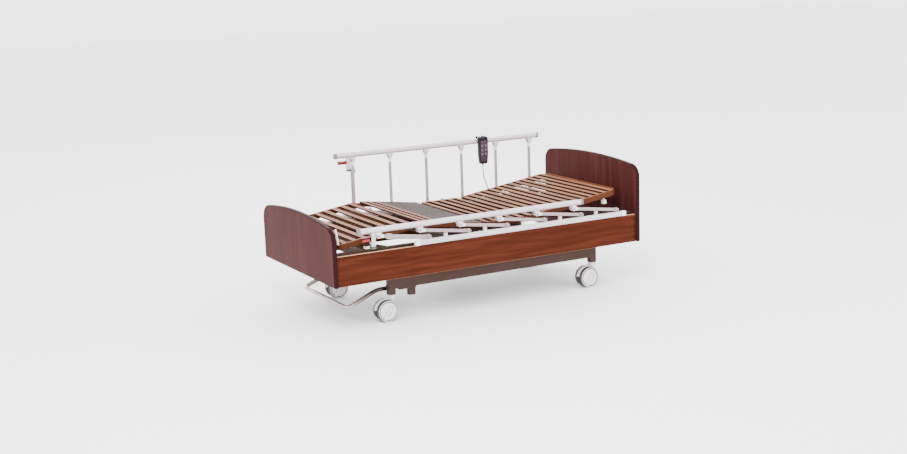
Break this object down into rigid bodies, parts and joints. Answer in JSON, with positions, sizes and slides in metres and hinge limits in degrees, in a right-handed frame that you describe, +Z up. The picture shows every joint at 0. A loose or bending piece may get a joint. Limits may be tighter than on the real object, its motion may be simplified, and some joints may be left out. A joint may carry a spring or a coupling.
{
  "type": "adjustable hospital bed",
  "caption": "Height-adjustable care bed with wooden end boards, slatted back, thigh and calf sections, folding side rails, braked casters and a corded handset.",
  "frame": {"origin": "on the floor under the middle of the bed at its lowest height", "axes": "+X towards the head end, +Y towards the side whose rail is up at rest, +Z up"},
  "size_m": [2.04, 1.02, 0.8705],
  "materials": {
    "board_wood": "gloss lacquered dark veneer",
    "panel_wood": "satin mahogany veneer",
    "frame_wood": "satin laminated beech",
    "slat_wood": "satin beech",
    "chassis_paint": "satin brown-grey powder coat",
    "pedal_steel": "satin zinc plated",
    "drive_plastic": "matte dark grey",
    "nylon": "matte white nylon",
    "wire_steel": "satin grey",
    "cord_rubber": "matte",
    "handset_case": "matte dark",
    "handset_key": "matte grey",
    "caster_housing": "satin pale grey",
    "caster_wheel": "pale disc with grey tread",
    "rail_white": "gloss white powder coat",
    "post_paint": "satin grey powder coat",
    "release_red": "gloss red"
  },
  "bodies": {
    "chassis": {"chassis_frame": "chassis_paint"},
    "caster_foot_near": {"caster_fork_foot_near": "caster_housing"},
    "wheels_foot_near": {"caster_wheels_foot_near": "caster_wheel"},
    "caster_foot_far": {"caster_fork_foot_far": "caster_housing"},
    "wheels_foot_far": {"caster_wheels_foot_far": "caster_wheel"},
    "caster_head_near": {"caster_fork_head_near": "caster_housing"},
    "wheels_head_near": {"caster_wheels_head_near": "caster_wheel"},
    "caster_head_far": {"caster_fork_head_far": "caster_housing"},
    "wheels_head_far": {"caster_wheels_head_far": "caster_wheel"},
    "pedal": {"brake_pedal": "pedal_steel"},
    "lift_main": {"lift_arm_main": "chassis_paint"},
    "lift_second": {"lift_arm_second": "chassis_paint"},
    "upper": {"upper_frame": "chassis_paint", "seat_frame": "frame_wood", "seat_slats": "slat_wood", "footboard": "board_wood", "headboard": "board_wood", "side_panel_near": "panel_wood", "side_panel_far": "panel_wood", "base_rail_near": "rail_white", "base_rail_far": "rail_white", "twin_drive": "drive_plastic", "control_box": "drive_plastic", "handset_cord": "cord_rubber"},
    "actuator": {"lift_actuator": "drive_plastic"},
    "actuator_rod": {"lift_actuator_rod": "pedal_steel"},
    "back": {"back_frame": "frame_wood", "back_slats": "slat_wood", "back_pads": "nylon"},
    "back_lever": {"back_lever": "chassis_paint"},
    "thigh": {"thigh_frame": "frame_wood", "thigh_slats": "slat_wood", "mesh_panel": "wire_steel"},
    "calf": {"calf_frame": "frame_wood", "calf_slats": "slat_wood", "mattress_stops": "nylon"},
    "knee_lever": {"knee_lever": "chassis_paint"},
    "post_near_1": {"post_near_1": "post_paint"},
    "post_near_2": {"post_near_2": "post_paint"},
    "post_near_3": {"post_near_3": "post_paint"},
    "post_near_4": {"post_near_4": "post_paint"},
    "post_near_5": {"post_near_5": "post_paint"},
    "post_near_6": {"post_near_6": "post_paint"},
    "rail_top_near": {"top_rail_near": "rail_white"},
    "release_near": {"release_handle_near": "release_red"},
    "post_far_1": {"post_far_1": "post_paint"},
    "post_far_2": {"post_far_2": "post_paint"},
    "post_far_3": {"post_far_3": "post_paint"},
    "post_far_4": {"post_far_4": "post_paint"},
    "post_far_5": {"post_far_5": "post_paint"},
    "post_far_6": {"post_far_6": "post_paint"},
    "rail_top_far": {"top_rail_far": "rail_white"},
    "release_far": {"release_handle_far": "release_red"},
    "handset": {"handset": "handset_case"},
    "key_1": {"handset_button_1": "handset_key"},
    "key_2": {"handset_button_2": "handset_key"},
    "key_3": {"handset_button_3": "handset_key"},
    "key_4": {"handset_button_4": "handset_key"},
    "key_5": {"handset_button_5": "handset_key"},
    "key_6": {"handset_button_6": "handset_key"}
  },
  "joints": [
    {"name": "swivel_foot_near", "type": "hinge", "parent": "chassis", "child": "caster_foot_near", "pos_m": [-0.6, -0.34, 0.15], "axis": [0, 0, 1], "continuous": true},
    {"name": "roll_foot_near", "type": "hinge", "parent": "caster_foot_near", "child": "wheels_foot_near", "pos_m": [-0.638, -0.34, 0.0635], "axis": [0, 1, 0], "continuous": true},
    {"name": "swivel_foot_far", "type": "hinge", "parent": "chassis", "child": "caster_foot_far", "pos_m": [-0.6, 0.34, 0.15], "axis": [0, 0, 1], "continuous": true},
    {"name": "roll_foot_far", "type": "hinge", "parent": "caster_foot_far", "child": "wheels_foot_far", "pos_m": [-0.638, 0.34, 0.0635], "axis": [0, 1, 0], "continuous": true},
    {"name": "swivel_head_near", "type": "hinge", "parent": "chassis", "child": "caster_head_near", "pos_m": [0.775, -0.34, 0.15], "axis": [0, 0, 1], "continuous": true},
    {"name": "roll_head_near", "type": "hinge", "parent": "caster_head_near", "child": "wheels_head_near", "pos_m": [0.737, -0.34, 0.0635], "axis": [0, 1, 0], "continuous": true},
    {"name": "swivel_head_far", "type": "hinge", "parent": "chassis", "child": "caster_head_far", "pos_m": [0.775, 0.34, 0.15], "axis": [0, 0, 1], "continuous": true},
    {"name": "roll_head_far", "type": "hinge", "parent": "caster_head_far", "child": "wheels_head_far", "pos_m": [0.737, 0.34, 0.0635], "axis": [0, 1, 0], "continuous": true},
    {"name": "brake_pedal", "type": "hinge", "parent": "chassis", "child": "pedal", "pos_m": [-0.6, 0, 0.18], "axis": [0, 1, 0], "range_deg": [-10, 10]},
    {"name": "lift", "type": "hinge", "parent": "chassis", "child": "lift_main", "pos_m": [0.481, 0, 0.213], "axis": [0, 1, 0], "range_deg": [0, 38]},
    {"name": "lift_frame", "type": "hinge", "parent": "lift_main", "child": "upper", "pos_m": [-0.05992, 0, 0.35794], "axis": [0, 1, 0], "range_deg": [-38, 0]},
    {"name": "lift_second", "type": "hinge", "parent": "chassis", "child": "lift_second", "pos_m": [-0.119, 0, 0.213], "axis": [0, 1, 0], "range_deg": [0, 38]},
    {"name": "actuator_tilt", "type": "hinge", "parent": "chassis", "child": "actuator", "pos_m": [0.019, 0, 0.25], "axis": [0, -1, 0], "range_deg": [-1.91, 0.5]},
    {"name": "actuator_stroke", "type": "slide", "parent": "actuator", "child": "actuator_rod", "axis": [0.9797, 0, 0.2006], "range_m": [0, 0.0851]},
    {"name": "back_section", "type": "hinge", "parent": "upper", "child": "back", "pos_m": [0.275, 0, 0.484], "axis": [0, -1, 0], "range_deg": [-8, 57]},
    {"name": "back_drive", "type": "hinge", "parent": "upper", "child": "back_lever", "pos_m": [0.225, 0, 0.424], "axis": [0, -1, 0], "range_deg": [-6.2, 40.5]},
    {"name": "knee_section", "type": "hinge", "parent": "upper", "child": "thigh", "pos_m": [-0.01, 0, 0.484], "axis": [0, 1, 0], "range_deg": [-7.6, 27]},
    {"name": "calf_section", "type": "hinge", "parent": "thigh", "child": "calf", "pos_m": [-0.44019, 0, 0.5414], "axis": [0, 1, 0], "range_deg": [-49.8, 14.1]},
    {"name": "knee_drive", "type": "hinge", "parent": "upper", "child": "knee_lever", "pos_m": [0.04, 0, 0.424], "axis": [0, 1, 0], "range_deg": [-6.2, 21.5]},
    {"name": "rail_near", "type": "hinge", "parent": "upper", "child": "post_near_1", "pos_m": [-0.424, -0.491, 0.488], "axis": [0, 1, 0], "range_deg": [0, 82.35]},
    {"name": "rail_near_post_2", "type": "hinge", "parent": "upper", "child": "post_near_2", "pos_m": [-0.168, -0.491, 0.488], "axis": [0, 1, 0], "range_deg": [0, 82.35]},
    {"name": "rail_near_post_3", "type": "hinge", "parent": "upper", "child": "post_near_3", "pos_m": [0.088, -0.491, 0.488], "axis": [0, 1, 0], "range_deg": [0, 82.35]},
    {"name": "rail_near_post_4", "type": "hinge", "parent": "upper", "child": "post_near_4", "pos_m": [0.344, -0.491, 0.488], "axis": [0, 1, 0], "range_deg": [0, 82.35]},
    {"name": "rail_near_post_5", "type": "hinge", "parent": "upper", "child": "post_near_5", "pos_m": [0.6, -0.491, 0.488], "axis": [0, 1, 0], "range_deg": [0, 82.35]},
    {"name": "rail_near_post_6", "type": "hinge", "parent": "upper", "child": "post_near_6", "pos_m": [0.856, -0.491, 0.488], "axis": [0, 1, 0], "range_deg": [0, 82.35]},
    {"name": "rail_near_top", "type": "hinge", "parent": "post_near_1", "child": "rail_top_near", "pos_m": [-0.73917, -0.491, 0.53033], "axis": [0, 1, 0], "range_deg": [-82.35, 0]},
    {"name": "release_near", "type": "slide", "parent": "rail_top_near", "child": "release_near", "axis": [-1, 0, 0], "range_m": [0, 0.012], "stiffness_N_per_m": 800, "springref_m": -0.004},
    {"name": "rail_far", "type": "hinge", "parent": "upper", "child": "post_far_1", "pos_m": [-0.424, 0.491, 0.488], "axis": [0, -1, 0], "range_deg": [0, 82.35], "deforming": ["handset_cord"]},
    {"name": "rail_far_post_2", "type": "hinge", "parent": "upper", "child": "post_far_2", "pos_m": [-0.168, 0.491, 0.488], "axis": [0, -1, 0], "range_deg": [0, 82.35]},
    {"name": "rail_far_post_3", "type": "hinge", "parent": "upper", "child": "post_far_3", "pos_m": [0.088, 0.491, 0.488], "axis": [0, -1, 0], "range_deg": [0, 82.35]},
    {"name": "rail_far_post_4", "type": "hinge", "parent": "upper", "child": "post_far_4", "pos_m": [0.344, 0.491, 0.488], "axis": [0, -1, 0], "range_deg": [0, 82.35]},
    {"name": "rail_far_post_5", "type": "hinge", "parent": "upper", "child": "post_far_5", "pos_m": [0.6, 0.491, 0.488], "axis": [0, -1, 0], "range_deg": [0, 82.35]},
    {"name": "rail_far_post_6", "type": "hinge", "parent": "upper", "child": "post_far_6", "pos_m": [0.856, 0.491, 0.488], "axis": [0, -1, 0], "range_deg": [0, 82.35]},
    {"name": "rail_far_top", "type": "hinge", "parent": "post_far_1", "child": "rail_top_far", "pos_m": [-0.424, 0.491, 0.806], "axis": [0, -1, 0], "range_deg": [-82.35, 0]},
    {"name": "release_far", "type": "slide", "parent": "rail_top_far", "child": "release_far", "axis": [-1, 0, 0], "range_m": [0, 0.012], "stiffness_N_per_m": 800, "springref_m": -0.004},
    {"name": "handset_lift", "type": "slide", "parent": "rail_top_far", "child": "handset", "axis": [0, 0, 1], "range_m": [0, 0.03]},
    {"name": "key_1", "type": "slide", "parent": "handset", "child": "key_1", "axis": [0, 1, 0], "range_m": [0, 0.0015], "stiffness_N_per_m": 400, "springref_m": -0.0005},
    {"name": "key_2", "type": "slide", "parent": "handset", "child": "key_2", "axis": [0, 1, 0], "range_m": [0, 0.0015], "stiffness_N_per_m": 400, "springref_m": -0.0005},
    {"name": "key_3", "type": "slide", "parent": "handset", "child": "key_3", "axis": [0, 1, 0], "range_m": [0, 0.0015], "stiffness_N_per_m": 400, "springref_m": -0.0005},
    {"name": "key_4", "type": "slide", "parent": "handset", "child": "key_4", "axis": [0, 1, 0], "range_m": [0, 0.0015], "stiffness_N_per_m": 400, "springref_m": -0.0005},
    {"name": "key_5", "type": "slide", "parent": "handset", "child": "key_5", "axis": [0, 1, 0], "range_m": [0, 0.0015], "stiffness_N_per_m": 400, "springref_m": -0.0005},
    {"name": "key_6", "type": "slide", "parent": "handset", "child": "key_6", "axis": [0, 1, 0], "range_m": [0, 0.0015], "stiffness_N_per_m": 400, "springref_m": -0.0005}
  ],
  "couplings": [
    {"joint": "lift_frame", "follows": "lift", "ratio": -1},
    {"joint": "lift_second", "follows": "lift", "ratio": 1},
    {"joint": "actuator_tilt", "follows": "lift", "ratio": -0.037},
    {"joint": "actuator_stroke", "follows": "lift", "m_per_rad": 0.12675},
    {"joint": "back_drive", "follows": "back_section", "ratio": 0.70487},
    {"joint": "calf_section", "follows": "knee_section", "ratio": -1.84},
    {"joint": "knee_drive", "follows": "knee_section", "ratio": 0.73005},
    {"joint": "rail_near_post_2", "follows": "rail_near", "ratio": 1},
    {"joint": "rail_near_post_3", "follows": "rail_near", "ratio": 1},
    {"joint": "rail_near_post_4", "follows": "rail_near", "ratio": 1},
    {"joint": "rail_near_post_5", "follows": "rail_near", "ratio": 1},
    {"joint": "rail_near_post_6", "follows": "rail_near", "ratio": 1},
    {"joint": "rail_near_top", "follows": "rail_near", "ratio": -1},
    {"joint": "rail_far_post_2", "follows": "rail_far", "ratio": 1},
    {"joint": "rail_far_post_3", "follows": "rail_far", "ratio": 1},
    {"joint": "rail_far_post_4", "follows": "rail_far", "ratio": 1},
    {"joint": "rail_far_post_5", "follows": "rail_far", "ratio": 1},
    {"joint": "rail_far_post_6", "follows": "rail_far", "ratio": 1},
    {"joint": "rail_far_top", "follows": "rail_far", "ratio": -1}
  ]
}
